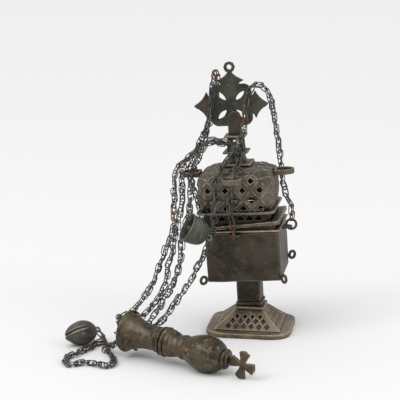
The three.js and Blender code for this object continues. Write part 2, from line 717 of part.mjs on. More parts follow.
// Routes of the chains, from the ring on the bowl (or from the handle) to the free end.
// Each chain rises through its guide, drapes over the tower or the cross and comes down on the
// left to the handle, where it turns into the flared mouth.
const ROUTES = {
  right: [
    [40, -6, 118], [40, -5, 126], [35, -3, 137], [31, -1, 150], [29, 0, 161], [28, 0, 170],
    [27, 0, 181], [25, 1, 193], [23, 3, 203], [21, 4, 215], [19, 5, 224], [17, 5, 233],
    [13, 4, 241], [8, 2, 246], [2, -2, 247], [-2, -6, 242], [-5, -7, 234], [-6, -8, 225],
    [-6, -9, 215], [-7, -12, 206],
    [-9, -18, 198], [-13, -22, 190], [-18, -26, 181], [-24, -35, 172], [-29, -46, 162],
    [-30, -50, 150], [-29, -53, 138], [-30, -56, 128], [-30, -57, 117], [-32, -58, 106],
    [-36, -60, 96], [-40, -62, 85], [-46, -64, 74], [-51, -67, 63], [-58, -71, 53],
    [-64, -75, 44], [-71, -80, 34], [-80, -85, 24], [-92, -88, 15], [-103, -87, 15],
    [-112, -93, 15], [-114, -102, 15], [-108, -110, 15], [-97, -115, 15],
  ],
  front: [
    [-12, -46, 116], [-14, -46, 122], [-17, -48, 133], [-15, -48, 143], [-14, -50, 153],
    [-12, -50, 162], [-10, -35, 172], [-10, -23, 178], [-12, -17, 184], [-17, -13, 189],
    [-24, -13, 191], [-32, -13, 193], [-40, -14, 193], [-46, -15, 187], [-50, -17, 177],
    [-56, -20, 165], [-57, -24, 155], [-57, -28, 144], [-57, -32, 132], [-58, -36, 121],
    [-61, -41, 110], [-63, -46, 99], [-63, -50, 89], [-63, -54, 79], [-66, -59, 67],
    [-70, -65, 56], [-75, -72, 47], [-80, -79, 38], [-86, -85, 30], [-93, -88, 22],
    [-103, -87, 21], [-112, -93, 21], [-114, -102, 21], [-108, -110, 21], [-97, -115, 21],
  ],
  left: [
    [-52, 6, 113], [-54, 5, 120], [-58, 2, 138], [-62, 0, 150], [-62, 0, 162], [-56, 1, 176],
    [-50, 3, 190], [-45, 5, 204], [-41, 6, 218], [-38, 7, 232], [-36, 7, 244], [-36, 5, 254],
    [-37, 0, 258], [-38, -5, 254], [-39, -7, 244], [-40, -7, 232], [-41, -6, 223],
    [-43, -6, 213], [-45, -7, 204],
    [-49, -8, 195], [-54, -9, 183], [-62, -13, 173], [-67, -17, 163], [-67, -20, 152],
    [-66, -24, 140], [-66, -29, 128], [-68, -34, 118], [-70, -39, 108], [-71, -44, 98],
    [-72, -48, 87], [-75, -53, 76], [-76, -59, 65], [-78, -66, 55], [-82, -73, 47],
    [-88, -79, 39], [-95, -84, 32], [-103, -87, 28], [-112, -93, 28], [-114, -102, 28],
    [-108, -110, 28], [-97, -115, 28],
  ],
  rear: [
    [0, 46, 116], [-3, 47, 122], [-11, 47, 140], [-14, 48, 153], [-15, 49, 164],
    [-20, 40, 175], [-32, 30, 182], [-46, 20, 184], [-57, 14, 178], [-66, 10, 170],
    [-74, 4, 163], [-77, -4, 153], [-76, -12, 143], [-75, -18, 133], [-75, -23, 121],
    [-74, -30, 109], [-76, -38, 99], [-79, -44, 89], [-82, -50, 79], [-85, -57, 69],
    [-88, -64, 60], [-92, -71, 52], [-97, -77, 45], [-102, -83, 39], [-107, -88, 35],
    [-112, -94, 34], [-114, -102, 34], [-108, -110, 34], [-97, -115, 34],
  ],
};

const FLOOR_ROUTE = [
  [-102, -121, 18], [-112, -118, 15], [-121, -109, 8], [-128, -95, 4], [-134, -84, 3.4],
  [-140, -89, 3.4], [-143, -102, 3.4], [-148, -113, 3.4], [-152, -124, 3.4], [-157, -135, 3.4],
  [-157, -147, 3.4], [-151, -157, 3.4], [-144, -154, 3.4], [-136, -149, 3.4], [-125, -153, 3.4],
  [-115, -156, 3.4], [-111, -146, 3.4], [-114, -133, 3.4], [-119, -121, 3.4],
  [-125, -111, 3.4], [-131, -103, 3.4],
];

function smoothCurve(points) {
  return new THREE.CatmullRomCurve3(points, false, "centripetal");
}

// Plain tube along the part of the curve between two shares of its length.
function chainTube(curve, from, to) {
  const length = curve.getLength() * (to - from);
  const steps = Math.max(3, Math.round(length / CHAIN_STEP));
  const points = [];
  for (let i = 0; i <= steps; i += 1) points.push(curve.getPointAt(from + ((to - from) * i) / steps));
  const section = new THREE.Shape();
  for (let i = 0; i < CHAIN_SIDES; i += 1) {
    const angle = (2 * Math.PI * i) / CHAIN_SIDES;
    const point = [CHAIN_RADIUS * Math.cos(angle), CHAIN_RADIUS * Math.sin(angle)];
    if (i === 0) section.moveTo(...point);
    else section.lineTo(...point);
  }
  section.closePath();
  const settings = { steps, extrudePath: smoothCurve(points), bevelEnabled: false };
  return new THREE.ExtrudeGeometry(section, settings);
}

// Shares of the curve's length where it first climbs past a height and last drops below it.
function heightShares(curve, height) {
  const samples = 600;
  const above = [];
  for (let i = 0; i <= samples; i += 1) {
    if (curve.getPointAt(i / samples).z > height) above.push(i / samples);
  }
  return [above[0], above[above.length - 1]];
}

// The stretch that lies over the lid is a tube of its own, because it rises with the lid.
function addChains() {
  for (const [name, route] of Object.entries(ROUTES)) {
    const curve = smoothCurve(route.map((point) => new THREE.Vector3(...point)));
    const [up, down] = heightShares(curve, DRAPE_HEIGHT);
    const gap = CHAIN_GAP / curve.getLength();
    place(group, `chain_${name}_riser`, chainTube(curve, 0, up - gap), CHAIN_IRON);
    place(group, `chain_${name}_drape`, chainTube(curve, up, down), CHAIN_IRON);
    place(group, `chain_${name}_fall`, chainTube(curve, down + gap, 1), CHAIN_IRON);
  }
  const floorCurve = smoothCurve(FLOOR_ROUTE.map((point) => new THREE.Vector3(...point)));
  place(group, "chain_floor", chainTube(floorCurve, 0, 1), CHAIN_IRON);
}

addFootPlate();
addFootPyramid();
addStem();
addBowl();
addCornerEyes();
addSideLugs();
addCoalPan();
addLidSkirt();
addLidFlange();
addLidDome();
addLidGuides();
addTower();
addCrossSocket();
addCross();
addHandle();
addHandleLugs();
addFinialCross();
const hangingBell = openBell(HANGING_BELL_HEIGHT, HANGING_BELL_MOUTH);
addBell("hanging_bell", hangingBell, HANGING_BELL_HEIGHT, [-34, -73, 110], [-17, -7, 10]);
const floorBell = budBell(FLOOR_BELL_HEIGHT, FLOOR_BELL_BELLY);
addBell("floor_bell", floorBell, FLOOR_BELL_HEIGHT, [-144, -76, 12.4], [-24, -22, 0]);
addChains();

export default group;
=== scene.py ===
"""Looks of the thurible censer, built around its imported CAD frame.

Lengths are in millimetres until a mesh is made, which turns them into metres; the camera, the
floor and the lamps are in metres throughout. Constants that are angles are in degrees, except
for the links' bends. Shapes that belong to the leaning censer, its lid, the handle or a bell are
drawn in that part's own upright frame.
"""

import json
import math
import random

import bmesh
import bpy
import numpy as np
from mathutils import Matrix, Vector, noise


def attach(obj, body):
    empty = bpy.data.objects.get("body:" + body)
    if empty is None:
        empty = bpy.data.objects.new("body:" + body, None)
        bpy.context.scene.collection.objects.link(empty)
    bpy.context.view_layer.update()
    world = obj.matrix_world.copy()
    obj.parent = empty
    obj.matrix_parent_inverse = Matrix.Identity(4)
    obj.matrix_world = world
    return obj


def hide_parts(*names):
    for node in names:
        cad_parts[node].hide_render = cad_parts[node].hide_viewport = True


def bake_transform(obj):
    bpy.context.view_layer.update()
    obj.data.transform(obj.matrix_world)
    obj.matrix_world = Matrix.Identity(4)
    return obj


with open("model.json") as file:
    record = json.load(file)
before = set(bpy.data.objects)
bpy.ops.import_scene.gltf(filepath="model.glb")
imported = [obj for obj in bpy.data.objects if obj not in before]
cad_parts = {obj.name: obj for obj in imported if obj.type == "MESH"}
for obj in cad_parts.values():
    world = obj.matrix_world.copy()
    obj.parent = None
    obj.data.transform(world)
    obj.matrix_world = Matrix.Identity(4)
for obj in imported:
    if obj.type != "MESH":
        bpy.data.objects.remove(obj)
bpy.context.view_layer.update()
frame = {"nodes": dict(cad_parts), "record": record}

MM = 0.001
# The censer leans about a line in its foot, the lid sits to one side on the bowl, and the handle
# lies on its side with its mouth's middle at HANDLE_MOUTH.
LEAN = -3.6
LEAN_HEIGHT = 20
LID_SHIFT = -5.5
HANDLE_MOUTH = (-104, -112, 24.6)
HANDLE_TURN = -25
HANDLE_PITCH = 4.5
SIDES = ("front", "right", "rear", "left")
CORNERS = ("front_left", "front_right", "rear_right", "rear_left")
SLOT_OF = {part["node"]: part["material_slot"] for part in frame["record"]["subparts"]}
BODIES = frame["record"]["behaviour"]["bodies"]
BODY_OF = {node: body for body, nodes in BODIES.items() for node in nodes}


def shifted(x, y, z):
    return Matrix.Translation((x, y, z))


def turned(degrees, axis):
    return Matrix.Rotation(math.radians(degrees), 4, axis)


GROUND = Matrix.Identity(4)
CENSER = shifted(0, 0, LEAN_HEIGHT) @ turned(LEAN, "Y") @ shifted(0, 0, -LEAN_HEIGHT)
LID = CENSER @ shifted(LID_SHIFT, 0, 0)
HANDLE = shifted(*HANDLE_MOUTH) @ turned(HANDLE_TURN, "Z") @ turned(90 + HANDLE_PITCH, "Y")


def hung(crown, mouth_way):
    """Frame of a bell drawn with its crown at 0 and its mouth towards -Z."""
    turn = Vector((0, 0, -1)).rotation_difference(Vector(mouth_way))
    return shifted(*crown) @ turn.to_matrix().to_4x4()


HANGING_BELL = hung((-34, -73, 110), (-17, -7, 10))
FLOOR_BELL = hung((-144, -76, 12.4), (-24, -22, 0))


# ---- camera ------------------------------------------------------------------------------------

CAMERA_TARGET = Vector((-0.0523, 0, 0.1297))
CAMERA_AZIMUTH = 9.1
CAMERA_ELEVATION = 12.2
CAMERA_DISTANCE = 1.665
CAMERA_SENSOR = 36
VIEW_WIDTH = 0.4
VIEW_DEPTH = 20


def towards(place, target):
    """Rotation of a camera or lamp that stands at place and looks at target."""
    return (Vector(target) - Vector(place)).to_track_quat("-Z", "Y").to_euler()


def add_camera():
    azimuth, elevation = math.radians(CAMERA_AZIMUTH), math.radians(CAMERA_ELEVATION)
    level = CAMERA_DISTANCE * math.cos(elevation)
    climb = CAMERA_DISTANCE * math.sin(elevation)
    offset = Vector((level * math.sin(azimuth), -level * math.cos(azimuth), climb))
    data = bpy.data.cameras.new("camera")
    data.sensor_width = CAMERA_SENSOR
    data.lens = CAMERA_SENSOR * CAMERA_DISTANCE / VIEW_WIDTH
    data.clip_end = VIEW_DEPTH
    camera = bpy.data.objects.new("camera", data)
    place = CAMERA_TARGET + offset
    camera.location = place
    camera.rotation_euler = towards(place, CAMERA_TARGET)
    bpy.context.scene.collection.objects.link(camera)
    bpy.context.scene.camera = camera


add_camera()


# ---- meshes ------------------------------------------------------------------------------------


def linked(name, mesh):
    piece = bpy.data.objects.new(name, mesh)
    bpy.context.scene.collection.objects.link(piece)
    return piece


def smooth(mesh, sharp_degrees=None):
    mesh.shade_smooth()
    if sharp_degrees is not None:
        mesh.set_sharp_from_angle(angle=math.radians(sharp_degrees))


def from_lists(name, points, faces, place=GROUND, sharp_degrees=None):
    """A piece from points in millimetres, drawn in the frame that place stands for."""
    mesh = bpy.data.meshes.new(name)
    mesh.from_pydata([tuple(p) for p in points], [], [tuple(f) for f in faces])
    mesh.transform(Matrix.Scale(MM, 4) @ place)
    mesh.update()
    work = bmesh.new()
    work.from_mesh(mesh)
    bmesh.ops.recalc_face_normals(work, faces=work.faces)
    work.to_mesh(mesh)
    work.free()
    smooth(mesh, sharp_degrees)
    return linked(name, mesh)


def finished(piece, node, material):
    """Gives a piece its metal and puts it in the place of a CAD node."""
    piece.data.materials.clear()
    piece.data.materials.append(material)
    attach(piece, BODY_OF[node])
    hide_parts(node)
    return piece


ON_AXIS = 1e-6


def lathe(profile, segments):
    """Points and faces of a profile of (radius, height) turned about Z."""
    points, rings, faces = [], [], []
    for radius, height in profile:
        if radius < ON_AXIS:
            rings.append([len(points)] * segments)
            points.append((0, 0, height))
            continue
        rings.append(list(range(len(points), len(points) + segments)))
        for i in range(segments):
            angle = 2 * math.pi * i / segments
            points.append((radius * math.cos(angle), radius * math.sin(angle), height))
    for low, high in zip(rings, rings[1:]):
        for i in range(segments):
            j = (i + 1) % segments
            corners = [low[i], low[j], high[j], high[i]]
            faces.append(list(dict.fromkeys(corners)))
    return points, faces


def rounded(points, steps=4):
    """A smooth curve through the points of a profile or route."""
    out = []
    last = len(points) - 1
    for i in range(last):
        around = [points[max(0, min(last, i + k))] for k in (-1, 0, 1, 2)]
        p0, p1, p2, p3 = np.array(around, float)
        for k in range(steps):
            t = k / steps
            spline = (
                2 * p1
                + (p2 - p0) * t
                + (2 * p0 - 5 * p1 + 4 * p2 - p3) * t * t
                + (3 * p1 - p0 - 3 * p2 + p3) * t**3
            )
            out.append(tuple(spline / 2))
    return [*out, tuple(points[-1])]


def wire_loop(path, radius, sides):
    """Points and faces of a round wire that runs along a closed path of points."""
    count = len(path)
    points, faces = [], []
    side = None
    for i, p in enumerate(path):
        along = (path[(i + 1) % count] - path[i - 1]).normalized()
        if side is None:
            side = along.orthogonal().normalized()
        side = (side - along * side.dot(along)).normalized()
        up = along.cross(side)
        for k in range(sides):
            angle = 2 * math.pi * k / sides
            points.append(p + radius * (math.cos(angle) * side + math.sin(angle) * up))
    for i in range(count):
        j = (i + 1) % count
        for k in range(sides):
            m = (k + 1) % sides
            faces.append((i * sides + k, j * sides + k, j * sides + m, i * sides + m))
    return points, faces


def together(*shapes):
    """Several shapes' points and faces as one."""
    points, faces = [], []
    for new_points, new_faces in shapes:
        start = len(points)
        points.extend(new_points)
        faces.extend(tuple(start + i for i in face) for face in new_faces)
    return points, faces


def ring(radius, thick, place, segments=28, sides=10):
    """A wire ring about place's own Z."""
    path = []
    for i in range(segments):
        angle = 2 * math.pi * i / segments
        path.append(place @ Vector((radius * math.cos(angle), radius * math.sin(angle), 0)))
    return wire_loop(path, thick, sides)


def pushed(piece, place, amount):
    """Moves each point along its normal by amount(spots, normals), all in place's own frame."""
    mesh = piece.data
    spots = np.zeros(len(mesh.vertices) * 3)
    mesh.vertices.foreach_get("co", spots)
    normals = np.zeros(len(mesh.vertices) * 3)
    mesh.vertex_normals.foreach_get("vector", normals)
    spots, normals = spots.reshape(-1, 3), normals.reshape(-1, 3)
    back = np.array((Matrix.Scale(MM, 4) @ place).inverted())
    turn = np.array(place.to_3x3().inverted())
    push = amount(spots @ back[:3, :3].T + back[:3, 3], normals @ turn.T)
    mesh.vertices.foreach_set("co", (spots + normals * push[:, None] * MM).ravel())
    mesh.update()


def hand_made(piece, depth, size, seed, place):
    """Pushes the surface in and out by up to depth, in dents about size across."""

    def dents(spots, _):
        drawn = spots / size + (seed, 2.3 * seed, 0)
        return np.array([noise.noise(spot) for spot in drawn]) * depth

    pushed(piece, place, dents)


WELD_REACH = 0.001
SOFTENING_PASSES = 2


def worn_copy(node, place, voxel, depth, size, seed):
    """A dense copy of a CAD node with its edges rounded off and its faces slightly dented."""
    mesh = frame["nodes"][node].data.copy()
    mesh.transform((Matrix.Scale(MM, 4) @ place).inverted())
    source = linked(f"{node}_worn", mesh)
    merge = source.modifiers.new("merge", "WELD")
    merge.merge_threshold = WELD_REACH
    remesh = source.modifiers.new("remesh", "REMESH")
    remesh.mode = "VOXEL"
    remesh.voxel_size = voxel
    soft = source.modifiers.new("soft", "SMOOTH")
    soft.iterations = SOFTENING_PASSES
    soft.factor = 0.5
    graph = bpy.context.evaluated_depsgraph_get()
    dense = bpy.data.meshes.new_from_object(source.evaluated_get(graph))
    source.modifiers.clear()
    source.data = dense
    dense.transform(Matrix.Scale(MM, 4) @ place)
    dense.update()
    smooth(dense)
    hand_made(source, depth, size, seed, place)
    return source


# ---- materials ---------------------------------------------------------------------------------


def srgb(code):
    """Linear colour of a red, green and blue code such as 0xRRGGBB."""
    channels = [(code >> shift & 255) / 255 for shift in (16, 8, 0)]
    linear = [c / 12.92 if c <= 0.04045 else ((c + 0.055) / 1.055) ** 2.4 for c in channels]
    return (*linear, 1)


CREVICE_REACH = 0.006
# The dark colour laid in hollows and narrow gaps is partly grime and partly painted shade.
GRIME_AND_SHADE = 0x14110E
GRIME_AND_SHADE_COVER = 0.78


class Shader:
    """A node tree being built; each call adds one node and returns its output socket."""

    def __init__(self, name):
        self.material = bpy.data.materials.new(name)
        self.material.use_nodes = True
        self.nodes = self.material.node_tree.nodes
        self.links = self.material.node_tree.links
        self.surface = self.nodes["Principled BSDF"]
        self.spot = self.add("ShaderNodeTexCoord").outputs["Object"]

    def add(self, kind, **settings):
        node = self.nodes.new(kind)
        for key, value in settings.items():
            setattr(node, key, value)
        return node

    def feed(self, socket, value):
        if isinstance(value, bpy.types.NodeSocket):
            self.links.new(value, socket)
        else:
            socket.default_value = value

    def grain(self, scale, detail, rough):
        node = self.add("ShaderNodeTexNoise")
        self.links.new(self.spot, node.inputs["Vector"])
        node.inputs["Scale"].default_value = scale
        node.inputs["Detail"].default_value = detail
        node.inputs["Roughness"].default_value = rough
        return node.outputs["Fac"]

    def span(self, value, low, high, to_low=0.0, to_high=1.0):
        """Carries low..high smoothly over to to_low..to_high."""
        node = self.add("ShaderNodeMapRange", interpolation_type="SMOOTHSTEP")
        self.feed(node.inputs["Value"], value)
        node.inputs["From Min"].default_value = low
        node.inputs["From Max"].default_value = high
        node.inputs["To Min"].default_value = to_low
        node.inputs["To Max"].default_value = to_high
        return node.outputs["Result"]

    def maths(self, operation, a, b):
        node = self.add("ShaderNodeMath", operation=operation)
        self.feed(node.inputs[0], a)
        self.feed(node.inputs[1], b)
        return node.outputs[0]

    def mix(self, share, a, b):
        node = self.add("ShaderNodeMix", data_type="RGBA")
        self.feed(node.inputs["Factor"], share)
        self.feed(node.inputs["A"], a)
        self.feed(node.inputs["B"], b)
        return node.outputs["Result"]

    def edges(self, low, high, at_low=0.0, at_high=1.0):
        """Where the surface bulges out (over 0.5) or is hollow (under 0.5)."""
        pointiness = self.add("ShaderNodeNewGeometry").outputs["Pointiness"]
        return self.span(pointiness, low, high, at_low, at_high)

    def crevices(self):
        """1 in a narrow gap between surfaces, where shade falls, 0 in the open: a mask for painted
        shade.
        """
        node = self.add("ShaderNodeAmbientOcclusion", samples=8)
        node.inputs["Distance"].default_value = CREVICE_REACH
        return self.span(node.outputs["AO"], 0.25, 0.85, 1.0, 0.0)

    def bumps(self, *layers):
        """Stacks bump layers, each a (height socket, strength, distance)."""
        normal = None
        for height, strength, distance in layers:
            node = self.add("ShaderNodeBump")
            node.inputs["Strength"].default_value = strength
            node.inputs["Distance"].default_value = distance
            self.links.new(height, node.inputs["Height"])
            if normal:
                self.links.new(normal, node.inputs["Normal"])
            normal = node.outputs["Normal"]
        self.links.new(normal, self.surface.inputs["Normal"])


def old_metal(name, colors, metallic=0.6, gloss=(0.38, 0.7), wear=0.8):
    """Old metal: blotches of three shades, stains, bare worn edges, and grime with painted shade in
    the hollows.

    The colors are those of the body, its dark and light blotches, the worn edges and the stains.
    """
    body, dark, light, worn, stain = colors
    s = Shader(name)
    broad = s.grain(scale=38, detail=5, rough=0.62)
    fine = s.grain(scale=260, detail=6, rough=0.7)
    speck = s.grain(scale=900, detail=3, rough=0.6)
    patch = s.grain(scale=70, detail=6, rough=0.72)
    color = s.mix(s.span(broad, 0.38, 0.62), srgb(dark), srgb(body))
    color = s.mix(s.span(fine, 0.5, 0.72, 0, 0.75), color, srgb(light))
    color = s.mix(s.span(patch, 0.56, 0.68, 0, 0.7), color, srgb(stain))
    rubbed = s.maths("MULTIPLY", s.edges(0.505, 0.56), s.span(fine, 0.3, 0.6, 0.25, 1))
    color = s.mix(s.maths("MULTIPLY", rubbed, wear), color, srgb(worn))
    # Grime with painted shade: the occlusion and hollow masks darken the gaps where shade falls.
    hollow = s.maths("MAXIMUM", s.crevices(), s.edges(0.44, 0.495, 1.0, 0.0))
    color = s.mix(s.maths("MULTIPLY", hollow, GRIME_AND_SHADE_COVER), color, srgb(GRIME_AND_SHADE))
    s.links.new(color, s.surface.inputs["Base Color"])
    s.surface.inputs["Metallic"].default_value = metallic
    rough = s.span(s.maths("ADD", fine, s.maths("MULTIPLY", broad, 0.5)), 0.5, 1.0, *gloss)
    s.links.new(rough, s.surface.inputs["Roughness"])
    s.bumps((broad, 0.25, 0.0012), (fine, 0.35, 0.0005), (speck, 0.25, 0.0002))
    return s.material


BOWL_METAL = old_metal("bowl_metal", (0x463D33, 0x2B2720, 0x635849, 0x8E7C62, 0x42463A))
LID_METAL = old_metal("lid_metal", (0x655D52, 0x39342D, 0x8A8171, 0xAC9D83, 0x54423A))
# The lid skirt's metal: soot, darkened further as painted shade for the flange's shadow.
SOOTY_SHADED_METAL = old_metal("sooty_shaded_metal", (0x342E28, 0x1C1916, 0x4C443A, 0x6E604D, 0x3A2A22))
FOOT_METAL = old_metal("foot_metal", (0x7F7362, 0x574C3F, 0x9C8E7A, 0xB5A488, 0x6B5645))
CROSS_METAL = old_metal(
    "cross_metal", (0x46463B, 0x2A2B25, 0x626155, 0x777462, 0x5E4337), wear=0.5
)
HANDLE_METAL = old_metal(
    "handle_metal", (0x504838, 0x2A251D, 0x7E745E, 0xA08C68, 0x80592C), 0.65, (0.2, 0.5)
)
BELL_METAL = old_metal("bell_metal", (0x555950, 0x353831, 0x747869, 0x909284, 0x514A3A))
BUD_METAL = old_metal("bud_metal", (0x6A665E, 0x45413B, 0x8B877E, 0xA09B8E, 0x4E4235))
CHAIN_METAL = old_metal(
    "chain_metal", (0x3F403C, 0x242421, 0x666763, 0x82837E, 0x56402F), 0.7, (0.3, 0.6), 0.4
)
RUST_METAL = old_metal(
    "rust_metal", (0x5E4135, 0x382822, 0x7D5F50, 0x80614F, 0x7E4630), 0.35, (0.5, 0.85), 0.3
)


# ---- chains ------------------------------------------------------------------------------------

# Each chain's way from its lug ring, through its guide and over the lid, into the handle.
ROUTES = {
    "right": [
        (40, -6, 112), (40, -5, 126), (35, -3, 137), (31, -1, 150), (29, 0, 161), (28, 0, 170),
        (27, 0, 181), (25, 1, 193), (23, 3, 203), (21, 4, 215), (19, 5, 224), (17, 5, 233),
        (13, 4, 241), (8, 2, 246), (2, -2, 247), (-2, -6, 242), (-5, -7, 234), (-6, -8, 225),
        (-6, -9, 215), (-7, -12, 206), (-9, -18, 198), (-13, -22, 190), (-18, -26, 181),
        (-24, -35, 172), (-29, -46, 162),
        (-30, -50, 150), (-29, -53, 138), (-30, -56, 128), (-30, -57, 117), (-32, -58, 106),
        (-36, -60, 96), (-40, -62, 85), (-46, -64, 74), (-51, -67, 63), (-58, -71, 53),
        (-64, -75, 44), (-71, -80, 34), (-80, -85, 24), (-92, -88, 15), (-103, -87, 15),
        (-112, -93, 15), (-114, -102, 15), (-108, -110, 15), (-97, -115, 15),
    ],
    "front": [
        (-12, -46, 109), (-14, -46, 122), (-17, -48, 133), (-15, -48, 143), (-14, -50, 153),
        (-12, -50, 162), (-10, -35, 172), (-10, -23, 178), (-12, -17, 184), (-17, -13, 189),
        (-24, -13, 191), (-32, -13, 193), (-40, -14, 193), (-46, -15, 187), (-50, -17, 177),
        (-56, -20, 165), (-57, -24, 155), (-57, -28, 144), (-57, -32, 132), (-58, -36, 121),
        (-61, -41, 110), (-63, -46, 99), (-63, -50, 89), (-63, -54, 79), (-66, -59, 67),
        (-70, -65, 56), (-75, -72, 47), (-80, -79, 38), (-86, -85, 30), (-93, -88, 22),
        (-103, -87, 21), (-112, -93, 21), (-114, -102, 21), (-108, -110, 21), (-97, -115, 21),
    ],
    "left": [
        (-51, 6, 107), (-54, 5, 120), (-58, 2, 138), (-62, 0, 150), (-62, 0, 162), (-56, 1, 176),
        (-50, 3, 190), (-45, 5, 204), (-41, 6, 218), (-38, 7, 232), (-36, 7, 244), (-36, 5, 254),
        (-37, 0, 258), (-38, -5, 254), (-39, -7, 244), (-40, -7, 232), (-41, -6, 223),
        (-43, -6, 213), (-45, -7, 204), (-49, -8, 195), (-54, -9, 183), (-62, -13, 173),
        (-67, -17, 163), (-67, -20, 152),
        (-66, -24, 140), (-66, -29, 128), (-68, -34, 118), (-70, -39, 108), (-71, -44, 98),
        (-72, -48, 87), (-75, -53, 76), (-76, -59, 65), (-78, -66, 55), (-82, -73, 47),
        (-88, -79, 39), (-95, -84, 32), (-103, -87, 28), (-112, -93, 28), (-114, -102, 28),
        (-108, -110, 28), (-97, -115, 28),
    ],
    "rear": [
        (0, 46, 109), (-3, 47, 122), (-11, 47, 140), (-14, 48, 153), (-15, 49, 164),
        (-20, 40, 175), (-32, 30, 182), (-46, 20, 184), (-57, 14, 178), (-66, 10, 170),
        (-74, 4, 163), (-77, -4, 153), (-76, -12, 143), (-75, -18, 133), (-75, -23, 121),
        (-74, -30, 109), (-76, -38, 99), (-79, -44, 89), (-82, -50, 79), (-85, -57, 69),
        (-88, -64, 60), (-92, -71, 52), (-97, -77, 45), (-102, -83, 39), (-107, -88, 35),
        (-112, -94, 34), (-114, -102, 34), (-108, -110, 34), (-97, -115, 34),
    ],
}

# The floor chain, from the handle's mouth to the floor bell and round in a loop.
FLOOR_ROUTE = [
    (-102, -121, 18), (-112, -118, 15), (-121, -109, 8), (-128, -95, 4), (-134, -84, 3.4),
    (-140, -89, 3.4), (-143, -102, 3.4), (-148, -113, 3.4), (-152, -124, 3.4), (-157, -135, 3.4),
    (-157, -147, 3.4), (-151, -157, 3.4), (-144, -154, 3.4), (-136, -149, 3.4), (-125, -153, 3.4),
    (-115, -156, 3.4), (-111, -146, 3.4), (-114, -133, 3.4), (-119, -121, 3.4),
    (-125, -111, 3.4), (-131, -103, 3.4),
]

CHAIN_WIDTH = 7.4
LINK_LENGTH = 12.4
LINK_STEP = 6.3
LINK_WIRE = 0.52
LINK_WIRE_SIDES = 6
LINK_CORNERS = 16
# How unevenly the links are bent: angles in radians, the rest in millimetres.
LINK_TILT = 0.24
LINK_SPIN = 0.5
LINK_SPLAY = (0.1, 0.55)
LINK_NARROWER = 2
LINK_SHORTER = 2.2
LINK_SLIP = 0.5
LINK_BOW = (0.1, 0.8)
CHAIN_SEED = 5
TIE_SEED = 8
# Middles and sizes of the patches where the chains have rusted.
RUST_SPOTS = (
    ((40, -6, 112), 16), ((-12, -46, 110), 17), ((-51, 6, 108), 12), ((0, 46, 110), 12),
    ((-37, 0, 258), 10), ((-72, 6, 163), 9), ((-75, -25, 120), 9), ((-131, -103, 3), 12),
    ((-6, -9, 215), 6), ((-62, -13, 173), 7),
)


def centreline(route):
    """Points about 1 mm apart on a smooth curve through the route."""
    fine = np.array(rounded(route, 24), float)
    gaps = np.linalg.norm(np.diff(fine, axis=0), axis=1)
    along = np.concatenate([[0], np.cumsum(gaps)])
    count = max(2, int(along[-1]))
    at = np.linspace(0, along[-1], count + 1)
    return [Vector([np.interp(a, along, fine[:, k]) for k in range(3)]) for a in at]


def link_loop(centre, along, side, out, length, width, bow):
    """One oval wire loop, longer along the chain, flat in the plane of along and side."""
    straight = (length - width) / 2
    path = []
    for i in range(LINK_CORNERS):
        angle = 2 * math.pi * (i + 0.5) / LINK_CORNERS
        x = math.cos(angle) * width / 2 + math.copysign(straight, math.cos(angle))
        y = math.sin(angle) * width / 2
        spot = centre + along * x + side * y + out * (bow * math.cos(2 * angle))
        spot.z = max(spot.z, LINK_WIRE)
        path.append(spot)
    return wire_loop(path, LINK_WIRE, LINK_WIRE_SIDES)


def link(centre, along, flat, dice):
    """A link of doubled wire: two loops on the same middle, sprung apart a little."""
    out = along.cross(flat)
    tilt = Matrix.Rotation(dice.uniform(-LINK_TILT, LINK_TILT), 3, out)
    shapes = []
    for apart in (-1, 1):
        splay = Matrix.Rotation(apart * dice.uniform(*LINK_SPLAY), 3, along)
        width = CHAIN_WIDTH - 2 * LINK_WIRE - dice.uniform(0, LINK_NARROWER)
        length = LINK_LENGTH - 2 * LINK_WIRE - dice.uniform(0, LINK_SHORTER)
        slip = flat * dice.uniform(-LINK_SLIP, LINK_SLIP)
        middle = centre + out * (apart * LINK_WIRE * 0.9) + slip
        axes = (tilt @ along, splay @ flat, splay @ out)
        shapes.append(link_loop(middle, *axes, length, width, dice.uniform(*LINK_BOW)))
    return together(*shapes)


def chain_shape(path, dice):
    """Links that pass through each other along a centreline."""
    lengths = [0.0]
    for a, b in zip(path, path[1:]):
        lengths.append(lengths[-1] + (b - a).length)
    count = max(1, round((lengths[-1] - LINK_LENGTH) / LINK_STEP))
    side = None
    shapes = []
    for i in range(count + 1):
        at = LINK_LENGTH / 2 + (lengths[-1] - LINK_LENGTH) * i / count
        k = min(range(len(lengths)), key=lambda j: abs(lengths[j] - at))
        low, high = max(0, k - 3), min(len(path) - 1, k + 3)
        along = (path[high] - path[low]).normalized()
        side = along.orthogonal() if side is None else side - along * side.dot(along)
        side.normalize()
        spin = math.pi / 2 * (i % 2) + dice.uniform(-LINK_SPIN, LINK_SPIN)
        shapes.append(link(path[k], along, Matrix.Rotation(spin, 3, along) @ side, dice))
    return together(*shapes)


def is_rusty(spot):
    return any((spot - Vector(middle)).length < size for middle, size in RUST_SPOTS)


def rust_in_spots(chain):
    """Gives the rust metal to the wire near each rusted spot."""
    chain.data.materials.append(RUST_METAL)
    for face in chain.data.polygons:
        face.material_index = int(is_rusty(face.center / MM))


def chain_piece(name, path, dice):
    points, faces = chain_shape(path, dice)
    chain = from_lists(name, points, faces)
    chain.data.materials.append(CHAIN_METAL)
    rust_in_spots(chain)
    return chain


def add_chains():
    dice = random.Random(CHAIN_SEED)
    for name, route in ROUTES.items():
        path = centreline(route)
        chain = chain_piece(f"chain_{name}", path, dice)
        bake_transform(chain)
        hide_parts(*[f"chain_{name}_{part}" for part in ("riser", "drape", "fall")])
    path = centreline(FLOOR_ROUTE)
    chain = chain_piece("chain_floor_links", path, dice)
    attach(chain, "root")
    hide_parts("chain_floor")


TIES = {
    "hanging_bell_tie": ((-32.4, -74, 109.4), (-31, -57, 108)),
    "floor_bell_tie": ((-143.4, -75.6, 12.4), (-137, -77, 7), (-133, -86, 4)),
}


